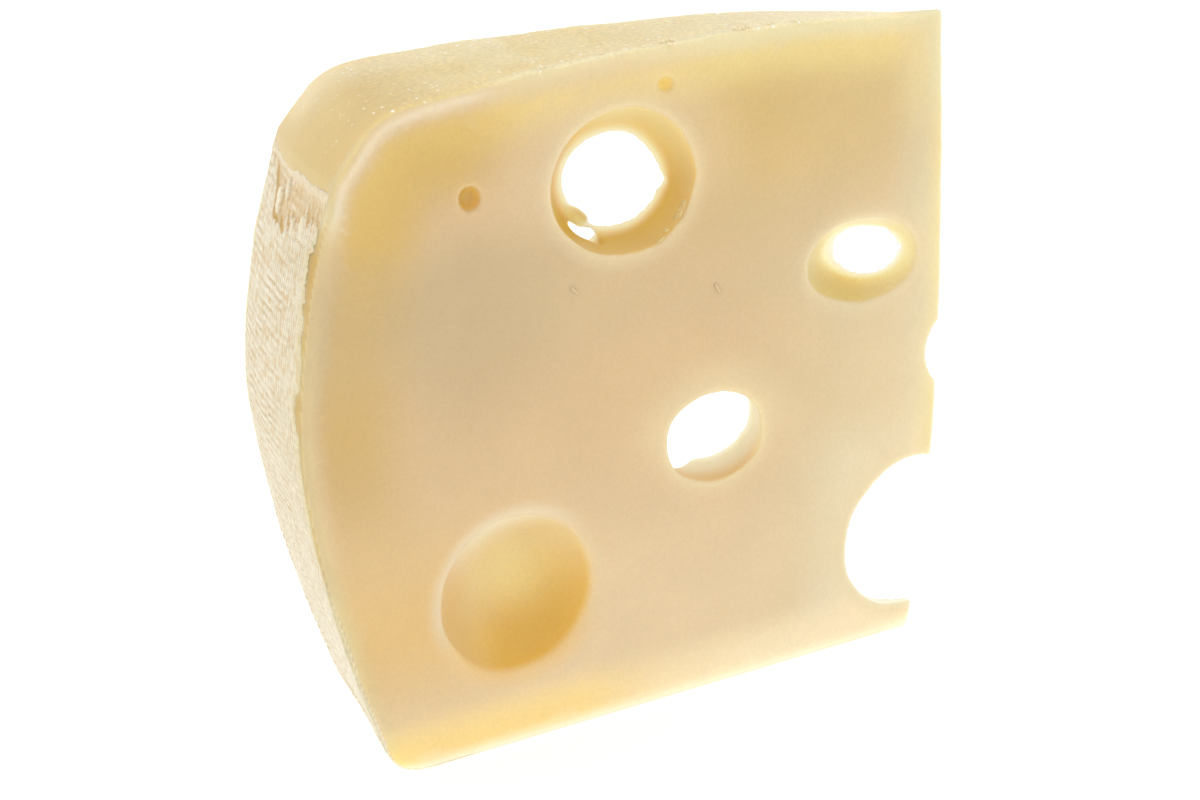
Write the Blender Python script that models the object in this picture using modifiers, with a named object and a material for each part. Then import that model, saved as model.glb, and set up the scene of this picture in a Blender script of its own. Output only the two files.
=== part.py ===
"""Cheese wedge: a narrow sector of a pressed wheel, with a bulging rind and round gas eyes.

Metres, +Z up. The wheel's upright axis passes just beyond the thin tip, at +X. The front cut face
looks along -Y, and the back cut face opens away from it by the wedge's angle. The origin lies on
the base, in the middle of the bounding box.
"""
import math

import bmesh
import bpy
from mathutils import Matrix, Vector, noise

NODE = "cheese_wedge"

# The wheel, as radius from its axis and height above its base
CROWN_RADIUS = 0.050       # the gently domed top is highest here
CROWN_HEIGHT = 0.1464
CROWN_FALL = 0.72          # outward fall of the top, in metres for each square metre
HEART_RADIUS = 0.012       # from the crown inwards the top dips as far as this
HEART_HEIGHT = 0.1442
CORNER_RADIUS = 0.1353     # where the top and the sloping shoulder would meet unrounded
CORNER_OUTER = 0.40        # share of the shoulder, and length of the top, that the corner rounds
CORNER_INNER = 0.0122
CORNER_FULLNESS = 0.80     # 2/3 is a parabola, 1 pulls the rounding out to its corner
BRIM_RADIUS = 0.1453       # upper edge of the side
BRIM_HEIGHT = 0.1290
BULGE_RADIUS = 0.1552      # widest line of the side
BULGE_HEIGHT = 0.077
FOOT_RADIUS = 0.1412       # lower end of the side, above the rounded foot
FOOT_HEIGHT = 0.0090
FOOT_ROUNDING = 0.0105     # length of the base that the foot rounds
FOOT_FULLNESS = 0.67
TOE_SETBACK = 0.0012       # of the unrounded foot from the lower end of the side
FOOT_FLATTENING = 0.0020   # the slice has settled, so its foot is less round than the wheel's
LOWER_SWELL = 1.60         # power of the side's curve below the bulge
UPPER_SWELL = 1.75         # and above it

# The cuts
WEDGE_ANGLE = math.radians(16.8)
TIP_RADIUS_BASE = 0.0087   # the tip's edge bows towards the axis, most of all low down
TIP_BOW_LOW = (0.0002, 0.0439)     # handles of the bow, as radius and height
TIP_BOW_HIGH = (0.0040, 0.1025)
TIP_RADIUS_TOP = 0.0063
EDGE_ROUNDING = 0.0013     # softened rims of both cut faces
KEEN_RADIUS = 0.014        # nearer the axis than this the thin tip keeps its keen edges
SOFT_RADIUS = 0.040        # from here on the rims have their full rounding

# Fineness
SECTOR_STEPS = 10
SIDE_STEPS = 9             # on each side of the bulge
CURVE_STEPS = 7            # on the foot, the shoulder and the tip
TOP_STEPS = 14
BASE_STEPS = 6

CHEESE_COLOR = (0.80, 0.60, 0.30, 1.0)
CHEESE_ROUGHNESS = 0.45

# Gas eyes: radius from the axis, height, and depth of the widest place behind the front face; half
# width, half depth and half height; turn in the face, in degrees; and how far the eye's middle line
# runs sideways and up for each metre of depth, starting at the face.
EYES = {
    "great_eye":   ((0.0833, 0.1193, 0.0040), (0.0167, 0.0240, 0.0151), -18.0, (0.31, -0.30)),
    "breach":      ((0.0802, 0.1023, 0.0240), (0.0026, 0.0085, 0.0020), -25.0, (0.00, 0.00)),
    "middle_eye":  ((0.0616, 0.0595, 0.0080), (0.0133, 0.0172, 0.0112), -11.0, (0.31, -0.11)),
    "tip_eye":     ((0.0241, 0.0921, -0.0025), (0.0150, 0.0112, 0.0099), -5.0, (-0.22, 0.08)),
    "blind_eye":   ((0.1091, 0.0344, 0.0010), (0.0181, 0.0160, 0.0188), 36.0, (0.00, 0.00)),
    "tip_notch":   ((0.0084, 0.0243, 0.0030), (0.0184, 0.0230, 0.0184), 0.0, (0.00, 0.00)),
    "small_notch": ((0.0004, 0.0690, 0.0020), (0.0070, 0.0110, 0.0070), 0.0, (0.00, 0.00)),
    "rind_pit":    ((0.1172, 0.1214, 0.0010), (0.0023, 0.0040, 0.0025), 20.0, (0.00, 0.00)),
    "top_pit":     ((0.0735, 0.1377, 0.0000), (0.0022, 0.0028, 0.0016), -10.0, (0.00, 0.00)),
}
# Blind eyes of the back cut face, with the depth measured in front of that face
BACK_EYES = {
    "back_eye":     ((0.1120, 0.0860, 0.0020), (0.0125, 0.0100, 0.0115), 15.0, (0.00, 0.00)),
    "back_low_eye": ((0.0640, 0.0240, 0.0010), (0.0072, 0.0060, 0.0065), -20.0, (0.00, 0.00)),
    "back_pit":     ((0.0420, 0.1290, 0.0000), (0.0030, 0.0030, 0.0024), 0.0, (0.00, 0.00)),
}
EYE_UNEVENNESS = 0.035     # as a share of an eye's size
UNEVEN_SCALE = 1.6         # swells per eye radius
UNEVEN_SPREAD = 900.0      # per metre between two eyes, so that no two are uneven alike
FINE_EYE_SIZE = 0.009      # eyes at least this wide get the finer sphere


def bezier(start, handle_a, handle_b, end, steps):
    """Points along a cubic curve, without its last one."""
    points = []
    for i in range(steps):
        t = i / steps
        s = 1.0 - t
        weights = (s * s * s, 3.0 * s * s * t, 3.0 * s * t * t, t * t * t)
        ends = (start, handle_a, handle_b, end)
        points.append(tuple(sum(w * p[k] for w, p in zip(weights, ends)) for k in (0, 1)))
    return points


def rounded(start, corner, end, fullness, steps):
    """The rounding of a corner, as a curve from start to end, without its last point."""
    handle_a = tuple(s + (c - s) * fullness for s, c in zip(start, corner))
    handle_b = tuple(e + (c - e) * fullness for e, c in zip(end, corner))
    return bezier(start, handle_a, handle_b, end, steps)


def side_radius(height):
    """Radius of the bulging side at a height between the foot and the brim."""
    if height < BULGE_HEIGHT:
        share = (BULGE_HEIGHT - height) / (BULGE_HEIGHT - FOOT_HEIGHT)
        return BULGE_RADIUS - (BULGE_RADIUS - FOOT_RADIUS) * share ** LOWER_SWELL
    share = (height - BULGE_HEIGHT) / (BRIM_HEIGHT - BULGE_HEIGHT)
    return BULGE_RADIUS - (BULGE_RADIUS - BRIM_RADIUS) * share ** UPPER_SWELL


def top_height(radius):
    if radius > CROWN_RADIUS:
        return CROWN_HEIGHT - CROWN_FALL * (radius - CROWN_RADIUS) ** 2
    share = min(1.0, (CROWN_RADIUS - radius) / (CROWN_RADIUS - HEART_RADIUS))
    return CROWN_HEIGHT - (CROWN_HEIGHT - HEART_HEIGHT) * (3.0 - 2.0 * share) * share * share


def sector_profile():
    """The front cut face as (radius, height) points, once round from the tip's lower end."""
    base_end = (FOOT_RADIUS - FOOT_ROUNDING, 0.0)
    toe = (FOOT_RADIUS - TOE_SETBACK, 0.0)
    foot = (FOOT_RADIUS, FOOT_HEIGHT)
    brim = (BRIM_RADIUS, BRIM_HEIGHT)
    corner = (CORNER_RADIUS, top_height(CORNER_RADIUS))
    corner_start = tuple(c + (b - c) * CORNER_OUTER for b, c in zip(brim, corner))
    inner_radius = CORNER_RADIUS - CORNER_INNER
    corner_end = (inner_radius, top_height(inner_radius))
    tip_top = (TIP_RADIUS_TOP, top_height(TIP_RADIUS_TOP))
    tip_base = (TIP_RADIUS_BASE, 0.0)

    points = []
    for i in range(BASE_STEPS):
        points.append((TIP_RADIUS_BASE + (base_end[0] - TIP_RADIUS_BASE) * i / BASE_STEPS, 0.0))
    points += rounded(base_end, toe, foot, FOOT_FULLNESS, CURVE_STEPS)
    for low, high in ((FOOT_HEIGHT, BULGE_HEIGHT), (BULGE_HEIGHT, BRIM_HEIGHT)):
        for i in range(SIDE_STEPS):
            height = low + (high - low) * i / SIDE_STEPS
            points.append((side_radius(height), height))
    points.append(brim)
    points.append(tuple((b + c) / 2.0 for b, c in zip(brim, corner_start)))
    points += rounded(corner_start, corner, corner_end, CORNER_FULLNESS, CURVE_STEPS)
    for i in range(TOP_STEPS):
        radius = inner_radius + (TIP_RADIUS_TOP - inner_radius) * i / TOP_STEPS
        points.append((radius, top_height(radius)))
    points += bezier(tip_top, TIP_BOW_HIGH, TIP_BOW_LOW, tip_base, CURVE_STEPS)
    return points


def settled_radius(radius, height, share):
    """Radius of a point once the slice has settled on its foot, at a share of the wedge's angle."""
    low = max(0.0, 1.0 - height / BULGE_HEIGHT)
    outer = max(0.0, (radius - 0.5 * FOOT_RADIUS) / (0.5 * FOOT_RADIUS))
    return radius - FOOT_FLATTENING * math.sin(math.pi * share) * low * outer


def add_sector(collection):
    """The uncut sector: its front face, spun about the wheel's axis at the world's origin."""
    sector = bmesh.new()
    outline = [sector.verts.new((-radius, 0.0, height)) for radius, height in sector_profile()]
    face = sector.faces.new(outline)
    bmesh.ops.spin(sector, geom=[face] + face.edges[:] + face.verts[:], cent=(0.0, 0.0, 0.0),
                   axis=(0.0, 0.0, 1.0), angle=-WEDGE_ANGLE, steps=SECTOR_STEPS)
    for vertex in sector.verts:
        radius = vertex.co.xy.length
        share = math.atan2(vertex.co.y, -vertex.co.x) / WEDGE_ANGLE
        vertex.co.xy *= settled_radius(radius, vertex.co.z, share) / radius
    bmesh.ops.recalc_face_normals(sector, faces=sector.faces[:])

    weight = sector.edges.layers.float.new("bevel_weight_edge")
    for edge in sector.edges:
        if max(len(face.verts) for face in edge.link_faces) > 4:
            radius = min(v.co.xy.length for v in edge.verts)
            edge[weight] = min(1.0, max(0.0, (radius - KEEN_RADIUS) / (SOFT_RADIUS - KEEN_RADIUS)))

    mesh = bpy.data.meshes.new(NODE)
    sector.to_mesh(mesh)
    sector.free()
    wedge = bpy.data.objects.new(NODE, mesh)
    collection.objects.link(wedge)
    soften = wedge.modifiers.new("soft_edges", "BEVEL")
    soften.limit_method = "WEIGHT"
    soften.width = EDGE_ROUNDING
    soften.segments = 2
    return wedge


def add_eye(name, placing, cut_angle, into, collection):
    """An uneven, slanted ellipsoid that cuts one gas eye, placed from the face at cut_angle."""
    (radius, height, depth), half_sizes, turn, (sideways, upwards) = placing
    fine = half_sizes[0] >= FINE_EYE_SIZE
    bpy.ops.mesh.primitive_ico_sphere_add(subdivisions=4 if fine else 3, radius=1.0)
    eye = bpy.context.object
    eye.name = name
    for vertex in eye.data.vertices:
        swell = noise.noise(vertex.co * UNEVEN_SCALE + Vector((radius, height, depth)) * UNEVEN_SPREAD)
        vertex.co *= 1.0 + EYE_UNEVENNESS * swell

    sized = Matrix.Diagonal((*half_sizes, 1.0))
    turned = Matrix.Rotation(math.radians(-turn), 4, "Y")
    sunk = Matrix.Translation((0.0, into * depth, 0.0))
    slanted = Matrix.Identity(4)
    slanted[0][1] = sideways
    slanted[2][1] = upwards
    placed = Matrix.Translation((-radius, 0.0, height))
    swung = Matrix.Rotation(-cut_angle, 4, "Z")
    eye.data.transform(swung @ placed @ slanted @ sunk @ turned @ sized)
    eye.hide_render = True
    eye.display_type = "WIRE"
    for owner in eye.users_collection:
        owner.objects.unlink(eye)
    collection.objects.link(eye)
    return eye


def cut_eyes(wedge, cutters):
    eyes = [add_eye(name, placing, 0.0, 1.0, cutters) for name, placing in EYES.items()]
    eyes += [add_eye(name, placing, WEDGE_ANGLE, -1.0, cutters) for name, placing in BACK_EYES.items()]
    for eye in eyes:
        cut = wedge.modifiers.new(eye.name, "BOOLEAN")
        cut.operation = "DIFFERENCE"
        cut.solver = "EXACT"
        cut.object = eye
        eye.parent = wedge


def cheese_material():
    cheese = bpy.data.materials.new("semi_hard_cheese")
    cheese.use_nodes = True
    shader = cheese.node_tree.nodes["Principled BSDF"]
    shader.inputs["Base Color"].default_value = CHEESE_COLOR
    shader.inputs["Roughness"].default_value = CHEESE_ROUGHNESS
    shader.inputs["Metallic"].default_value = 0.0
    cheese.diffuse_color = CHEESE_COLOR
    return cheese


def stand_on_origin(wedge):
    """Moves the wedge so that the origin is in the middle of its bounding box's base."""
    finished = wedge.evaluated_get(bpy.context.evaluated_depsgraph_get())
    corners = [Vector(corner) for corner in finished.bound_box]
    low = Vector([min(corner[k] for corner in corners) for k in range(3)])
    high = Vector([max(corner[k] for corner in corners) for k in range(3)])
    wedge.location = (-(low.x + high.x) / 2.0, -(low.y + high.y) / 2.0, -low.z)


def main():
    for obj in list(bpy.data.objects):
        bpy.data.objects.remove(obj, do_unlink=True)
    parts = bpy.data.collections.new(NODE)
    cutters = bpy.data.collections.new("cutters")
    bpy.context.scene.collection.children.link(parts)
    bpy.context.scene.collection.children.link(cutters)

    wedge = add_sector(parts)
    wedge.data.materials.append(cheese_material())
    cut_eyes(wedge, cutters)
    wedge.data.shade_smooth()
    wedge.data.set_sharp_from_angle(angle=math.radians(35.0))
    stand_on_origin(wedge)


main()
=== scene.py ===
import math
from types import SimpleNamespace

import bpy
import numpy as np
from mathutils import Matrix, Vector, noise


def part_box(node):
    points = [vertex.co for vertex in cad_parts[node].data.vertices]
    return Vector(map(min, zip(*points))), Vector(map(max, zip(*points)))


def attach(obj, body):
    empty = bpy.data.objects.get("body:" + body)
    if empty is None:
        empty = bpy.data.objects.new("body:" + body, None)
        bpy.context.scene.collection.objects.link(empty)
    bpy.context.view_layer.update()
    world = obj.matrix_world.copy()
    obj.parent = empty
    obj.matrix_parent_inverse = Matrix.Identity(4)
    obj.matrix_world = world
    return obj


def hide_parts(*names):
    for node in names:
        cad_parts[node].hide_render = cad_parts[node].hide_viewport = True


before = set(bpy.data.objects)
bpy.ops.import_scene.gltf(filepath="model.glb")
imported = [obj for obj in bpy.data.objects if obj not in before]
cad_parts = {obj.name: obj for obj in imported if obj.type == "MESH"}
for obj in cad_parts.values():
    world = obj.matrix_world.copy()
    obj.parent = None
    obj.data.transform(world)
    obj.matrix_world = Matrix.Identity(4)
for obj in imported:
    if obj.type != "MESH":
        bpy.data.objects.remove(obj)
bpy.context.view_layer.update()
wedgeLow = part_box("cheese_wedge")[0]
mm = 0.001


def sheetColor(hexText):
    # sRGB hex to the linear values that the shaders want
    channels = [int(hexText[i:i + 2], 16) / 255 for i in (1, 3, 5)]
    linear = [c / 12.92 if c <= 0.04045 else ((c + 0.055) / 1.055) ** 2.4 for c in channels]
    return (*linear, 1.0)


def setMode(mode):
    bpy.ops.object.mode_set(mode=mode)


def deselectAll():
    if bpy.context.object and bpy.context.object.mode != "OBJECT":
        setMode("OBJECT")
    bpy.ops.object.select_all(action="DESELECT")


def makeActive(piece):
    deselectAll()
    piece.select_set(True)
    bpy.context.view_layer.objects.active = piece


def applyModifier(piece, kind, **settings):
    makeActive(piece)
    modifier = piece.modifiers.new(kind.lower(), kind)
    for name, value in settings.items():
        setattr(modifier, name, value)
    bpy.ops.object.modifier_apply(modifier=modifier.name)


def addNode(tree, kind, links=(), output=0, **settings):
    # one output of a new node; links gives inputs, by name or in order, another node's output or a value
    node = tree.nodes.new("ShaderNode" + kind)
    for name, value in settings.items():
        setattr(node, name, value)
    for name, source in links.items() if isinstance(links, dict) else enumerate(links):
        socket = node.inputs[name]
        if isinstance(source, bpy.types.NodeSocket):
            tree.links.new(source, socket)
        else:
            socket.default_value = source
    return node.outputs[output]


def startMaterial(name, values):
    made = bpy.data.materials.new(name)
    made.use_nodes = True
    shader = made.node_tree.nodes["Principled BSDF"]
    for socket, value in values.items():
        shader.inputs[socket].default_value = value
    return made, made.node_tree, shader


def layColors(tree, color, layers):
    # colours laid one over another: the attribute that says where, the colour or the attribute that holds
    # it, and the most of it
    for name, hexText, most in layers:
        amount = addNode(tree, "Attribute", attribute_name=name, output="Fac")
        if most < 1.0:
            amount = addNode(tree, "Math", (amount, most), operation="MULTIPLY")
        laid = sheetColor(hexText) if hexText[0] == "#" else addNode(
            tree, "Attribute", attribute_name=hexText, output="Color")
        color = addNode(tree, "Mix", {0: amount, 6: color, 7: laid}, data_type="RGBA", output=2)
    return color


def smoothStep(values, low, high):
    share = np.clip((values - low) / (high - low), 0.0, 1.0)
    return share * share * (3.0 - 2.0 * share)


def rising(lengths, low, high):
    # from 0 to 1 between two limits in millimetres, for lengths in metres
    return smoothStep(lengths, low * mm, high * mm)


def falling(lengths, low, high):
    return 1.0 - rising(lengths, low, high)


def bell(values, middle, width):
    return np.exp(-((values - middle) / width) ** 2)


def readPoints(piece, kind="co"):
    points = np.empty(len(piece.data.vertices) * 3)
    piece.data.vertices.foreach_get(kind, points)
    return points.reshape(-1, 3)


def writePoints(piece, points):
    piece.data.vertices.foreach_set("co", np.ascontiguousarray(points).reshape(-1))
    piece.data.update()


def noiseAt(points, lengths, seed):
    # smooth noise whose lumps are about the given lengths across
    shift = Vector((seed * 7.3, seed * 3.1, seed * 5.7))
    return np.array([noise.noise(Vector(p) + shift) for p in np.asarray(points) / lengths])


def paintLayer(piece, name, values):
    # one number or one colour for each point
    kind, slot = ("FLOAT_COLOR", "color") if values.ndim == 2 else ("FLOAT", "value")
    layer = piece.data.attributes.new(name, kind, "POINT")
    layer.data.foreach_set(slot, np.ascontiguousarray(values, np.float32).reshape(-1))


# the wheel that the wedge was cut from, in metres from its axis and above its base; the angle in degrees
wheel = {
    "angle": 16.8,
    "crown": (0.050, 0.1464), "crownFall": 0.72, "heart": (0.012, 0.1442),
    "cornerRadius": 0.1353, "cornerOuter": 0.40, "cornerInner": 0.0122, "cornerFullness": 0.80,
    "brim": (0.1453, 0.1290), "bulge": (0.1552, 0.077), "foot": (0.1412, 0.0090),
    "footRounding": 0.0105, "toeSetback": 0.0012, "footFullness": 0.67, "footFlattening": 0.0020,
    "lowerSwell": 1.60, "upperSwell": 1.75,
    "tipBase": (0.0087, 0.0), "tipBowLow": (0.0002, 0.0439), "tipBowHigh": (0.0040, 0.1025),
    "tipTopRadius": 0.0063,
    "steps": {"base": 40, "foot": 10, "side": 64, "brim": 4, "corner": 12, "top": 44, "tip": 44},
}
axisX = wedgeLow.x + wheel["bulge"][0]
axisY = wedgeLow.y
wedgeAngle = math.radians(wheel["angle"])
print("frame loaded, wheel axis at", round(axisX, 5), round(axisY, 5))


def runTo(start, end, steps):
    return [start + (end - start) * i / steps for i in range(steps)]


def curvePoints(start, handleA, handleB, end, steps):
    points = []
    for i in range(steps):
        t = i / steps
        s = 1.0 - t
        weights = (s * s * s, 3 * s * s * t, 3 * s * t * t, t * t * t)
        ends = (start, handleA, handleB, end)
        points.append(tuple(sum(w * p[k] for w, p in zip(weights, ends)) for k in (0, 1)))
    return points


def roundedCorner(start, corner, end, fullness, steps):
    handleA = tuple(s + (c - s) * fullness for s, c in zip(start, corner))
    handleB = tuple(e + (c - e) * fullness for e, c in zip(end, corner))
    return curvePoints(start, handleA, handleB, end, steps)


def sideRadius(height):
    # the bulging side, between foot and brim
    bulgeRadius, bulgeHeight = wheel["bulge"]
    endRadius, endHeight = wheel["foot"] if height < bulgeHeight else wheel["brim"]
    swell = wheel["lowerSwell"] if height < bulgeHeight else wheel["upperSwell"]
    share = max(0.0, (bulgeHeight - height) / (bulgeHeight - endHeight))
    return bulgeRadius - (bulgeRadius - endRadius) * share ** swell


def topHeight(radius):
    crownRadius, crownHeight = wheel["crown"]
    heartRadius, heartHeight = wheel["heart"]
    if radius > crownRadius:
        return crownHeight - wheel["crownFall"] * (radius - crownRadius) ** 2
    share = min(1.0, (crownRadius - radius) / (crownRadius - heartRadius))
    return crownHeight - (crownHeight - heartHeight) * (3 - 2 * share) * share * share


def cutOutline():
    # once round the front cut face, from the tip's lower end
    foot, brim, tipBase, steps = wheel["foot"], wheel["brim"], wheel["tipBase"], wheel["steps"]
    baseEnd = (foot[0] - wheel["footRounding"], 0.0)
    toe = (foot[0] - wheel["toeSetback"], 0.0)
    corner = (wheel["cornerRadius"], topHeight(wheel["cornerRadius"]))
    cornerStart = tuple(c + (b - c) * wheel["cornerOuter"] for b, c in zip(brim, corner))
    innerRadius = corner[0] - wheel["cornerInner"]
    cornerEnd = (innerRadius, topHeight(innerRadius))
    tipTop = (wheel["tipTopRadius"], topHeight(wheel["tipTopRadius"]))

    points = [(radius, 0.0) for radius in runTo(tipBase[0], baseEnd[0], steps["base"])]
    points += roundedCorner(baseEnd, toe, foot, wheel["footFullness"], steps["foot"])
    points += [(sideRadius(height), height) for height in runTo(foot[1], brim[1], steps["side"])]
    points += zip(*(runTo(b, c, steps["brim"]) for b, c in zip(brim, cornerStart)))
    points += roundedCorner(cornerStart, corner, cornerEnd, wheel["cornerFullness"], steps["corner"])
    points += [(radius, topHeight(radius)) for radius in runTo(innerRadius, tipTop[0], steps["top"])]
    return points + curvePoints(tipTop, wheel["tipBowHigh"], wheel["tipBowLow"], tipBase, steps["tip"])


def settle(away, height):
    # the slice has settled on its foot, which is a little less round than the wheel's
    radius = away.length
    share = min(1.0, max(0.0, math.atan2(away.y, -away.x) / wedgeAngle))
    low = max(0.0, 1.0 - height / wheel["bulge"][1])
    outer = max(0.0, 2.0 * radius / wheel["foot"][0] - 1.0)
    return away * (1.0 - wheel["footFlattening"] * math.sin(math.pi * share) * low * outer / radius)


def wheelPlace(points):
    # radius from the axis, angle from the front cut, and height
    away = points[:, :2] - (axisX, axisY)
    return np.hypot(away[:, 0], away[:, 1]), np.arctan2(away[:, 1], -away[:, 0]), points[:, 2]


# the gas eyes in the paste: radius, height and depth of the middle, half width, half depth and half height
# (metres), turn (degrees), and for a slanting eye how far it runs sideways and up per metre of depth
eyes = {
    "greatEye": ((0.0833, 0.1193, 0.0040), (0.0167, 0.0240, 0.0151), -18.0, (0.31, -0.30)),
    "middleEye": ((0.0616, 0.0595, 0.0080), (0.0133, 0.0172, 0.0112), -11.0, (0.31, -0.11)),
    "tipEye": ((0.0241, 0.0921, -0.0025), (0.0150, 0.01035, 0.0099), -5.0, (-0.27, 0.08)),
    "blindEye": ((0.1089, 0.0342, 0.0008), (0.0170, 0.0160, 0.0177), 36.0),
    "tipNotch": ((0.0084, 0.0243, 0.0030), (0.0184, 0.0230, 0.0184), 0.0),
    "smallNotch": ((-0.0004, 0.0674, 0.0020), (0.0070, 0.0110, 0.0088), 0.0),
    "rindPit": ((0.1172, 0.1214, 0.0004), (0.0023, 0.0024, 0.0025), 20.0),
    "topPit": ((0.0735, 0.1377, 0.0000), (0.0022, 0.0016, 0.0016), -10.0),
}
backEyes = {
    "backEye": ((0.1120, 0.0860, 0.0020), (0.0125, 0.0100, 0.0115), 15.0),
    "backLowEye": ((0.0640, 0.0240, 0.0010), (0.0072, 0.0060, 0.0065), -20.0),
    "backPit": ((0.0420, 0.1290, 0.0000), (0.0030, 0.0030, 0.0024), 0.0),
}
# torn places on the rims of the eyes: curds that were left standing, and chips that came away
curds = {
    "tongue": ((0.0823, 0.1063, 0.0229), (0.0038, 0.0016, 0.0016), -30.0),
}
chips = {
    "breach": ((0.0802, 0.1016, 0.0240), (0.0028, 0.0085, 0.0015), -14.0),
    "breachSlit": ((0.0830, 0.1034, 0.0245), (0.0031, 0.0070, 0.0009), -43.0),
    "middleBite": ((0.0705, 0.0577, 0.0150), (0.0050, 0.0140, 0.0029), 7.0, (0.613, -0.527)),
    "middleShave": ((0.0635, 0.0579, 0.0150), (0.0060, 0.0140, 0.0021), 7.0, (0.630, -0.525)),
    "openingNick": ((0.0643, 0.1120, 0.0190), (0.0011, 0.0035, 0.0015), 10.0),
    "flapGroove": ((0.0706, 0.1099, 0.0000), (0.0021, 0.0012, 0.0007), 52.0),
    "rimNick": ((0.0742, 0.1064, 0.0000), (0.0015, 0.0010, 0.0006), 35.0),
}
# the colours of each eye's wall: one, or its roof, its middle and its floor; over the wall's golden colour
# the roof is painted paler, as painted light from the table below, and the floor darker, as painted shade
eyeTintsAndLight = {
    "greatEye": ("#f5e28e", "#e5c243", "#e3bf3a"), "blindEye": ("#f7efdc", "#eed8a4", "#e8c265"),
    "middleEye": ("#f8efc0", "#efdc9c", "#e4be70"), "tipEye": ("#eee2bc", "#e5d7a6", "#dfc77c"),
    "tipNotch": ("#f6efd8",), "smallNotch": ("#f4ecd0",), "rindPit": ("#e6c16a",), "topPit": ("#fae283",),
    "backEye": ("#f3e39c", "#ecd47c", "#e5c160"), "backLowEye": ("#f3e39c", "#ecd47c", "#e5c160"),
    "backPit": ("#eecf7c",),
}
chipTint = "#efd994"
# lengths in metres, limits in pairs in millimetres; softening goes in twentieths, least at the thin end
paste = {
    "sectorSteps": 40, "weld": 0.00001, "voxel": 0.00050, "kept": 0.345,
    "ballDetail": 6, "smallBallDetail": 4, "smallBall": 0.009,
    "eyeUnevenness": 0.035, "unevenScale": 1.6, "unevenSpread": 900.0, "ragged": 0.28,
    "smoothTurns": 10, "keenRadius": 0.009, "softRadius": 0.020, "leastSoft": 4, "mostSoft": 20,
    "rimTurns": 24, "rimReach": 0.0016, "roundedTurns": 90, "roundedReach": 0.0044, "fullShare": 0.4,
    "rindFacing": (0.35, 0.85), "rindInset": (1.2, 3.0), "rindRadius": (12, 22), "faceDepth": (0.6, 1.6),
    "knifeWaver": 0.00012, "knifeLength": 0.016, "rindWaver": 0.00030, "rindLength": 0.012,
    "sink": 0.0011, "sinkRadius": 0.130, "mouthDepth": 0.0006, "mouthWidth": 0.0050,
    "patchLength": 0.007,
}
# how an eye's wall is told from the face: depth and reach from its ball in millimetres, and where its roof
# begins, as a share of the ball; the blind eye's mouth is softer
keenWall = {"depth": (0.3, 1.6), "reach": (1.0, 2.2), "roof": 0.9}
softWall = {"depth": (0.3, 3.4), "reach": (2.0, 4.5), "roof": 0.7}


def eyePlace(placing, back):
    # matrix from a unit ball to the eye
    (radius, height, depth), halfSizes, turn, *slant = placing
    sideways, upwards = slant[0] if slant else (0.0, 0.0)
    sized = Matrix.Diagonal((*halfSizes, 1.0))
    turned = Matrix.Rotation(math.radians(-turn), 4, "Y")
    sunk = Matrix.Translation((0.0, -depth if back else depth, 0.0))
    slanted = Matrix.Identity(4)
    slanted[0][1] = sideways
    slanted[2][1] = upwards
    placed = Matrix.Translation((-radius, 0.0, height))
    swung = Matrix.Rotation(-wedgeAngle if back else 0.0, 4, "Z")
    axis = Matrix.Translation((axisX, axisY, 0.0))
    return axis @ swung @ placed @ slanted @ sunk @ turned @ sized


def makeBall(name, placing, back, unevenness):
    deselectAll()
    detail = paste["ballDetail" if placing[1][0] > paste["smallBall"] else "smallBallDetail"]
    bpy.ops.mesh.primitive_ico_sphere_add(subdivisions=detail, radius=1.0)
    ball = bpy.context.object
    ball.name = name
    start = Vector(placing[0]) * paste["unevenSpread"]
    for vertex in ball.data.vertices:
        vertex.co *= 1.0 + unevenness * noise.noise(vertex.co * paste["unevenScale"] + start)
    ball.data.transform(eyePlace(placing, back))
    return ball


def combine(body, ball, operation):
    applyModifier(body, "BOOLEAN", operation=operation, solver="EXACT", object=ball)
    bpy.data.objects.remove(ball, do_unlink=True)


def makePaste():
    outline = cutOutline()
    deselectAll()
    bpy.ops.mesh.primitive_circle_add(vertices=len(outline), radius=0.1, fill_type="NGON")
    body = bpy.context.object
    body.name = "cheese_paste"
    for vertex, (radius, height) in zip(body.data.vertices, outline):
        vertex.co = (axisX - radius, axisY, height)
    setMode("EDIT")
    bpy.ops.mesh.select_all(action="SELECT")
    bpy.ops.mesh.spin(steps=paste["sectorSteps"], angle=wedgeAngle, center=(axisX, axisY, 0.0),
                      axis=(0.0, 0.0, 1.0))
    bpy.ops.mesh.select_all(action="SELECT")
    bpy.ops.mesh.remove_doubles(threshold=paste["weld"])
    bpy.ops.mesh.normals_make_consistent(inside=False)
    setMode("OBJECT")
    for vertex in body.data.vertices:
        away = settle(Vector((vertex.co.x - axisX, vertex.co.y - axisY)), vertex.co.z)
        vertex.co = (axisX + away.x, axisY + away.y, vertex.co.z)
    cuts = ((eyes, "DIFFERENCE", "eyeUnevenness"), (backEyes, "DIFFERENCE", "eyeUnevenness"),
            (curds, "UNION", "ragged"), (chips, "DIFFERENCE", "ragged"))
    for table, operation, uneven in cuts:
        for name, placing in table.items():
            combine(body, makeBall(name, placing, table is backEyes, paste[uneven]), operation)
    print("paste cut:", len(body.data.polygons), "faces")
    applyModifier(body, "REMESH", mode="VOXEL", voxel_size=paste["voxel"], adaptivity=0.0)
    return body


def ballReach(points, placing, back=False):
    # how far out each point is in an eye's own ball, where 1 is its wall, and the ball's slope there
    toBall = np.array(eyePlace(placing, back).inverted())
    local = points @ toBall[:3, :3].T + toBall[:3, 3]
    size = np.sqrt((local ** 2).sum(1))
    slope = (local / size[:, None]) @ toBall[:3, :3]
    return size, np.sqrt((slope ** 2).sum(1)), slope, local


def wallGap(points, placing):
    # distance outwards from the wall of an eye
    size, steep = ballReach(points, placing)[:2]
    return (size - 1.0) / steep


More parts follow.
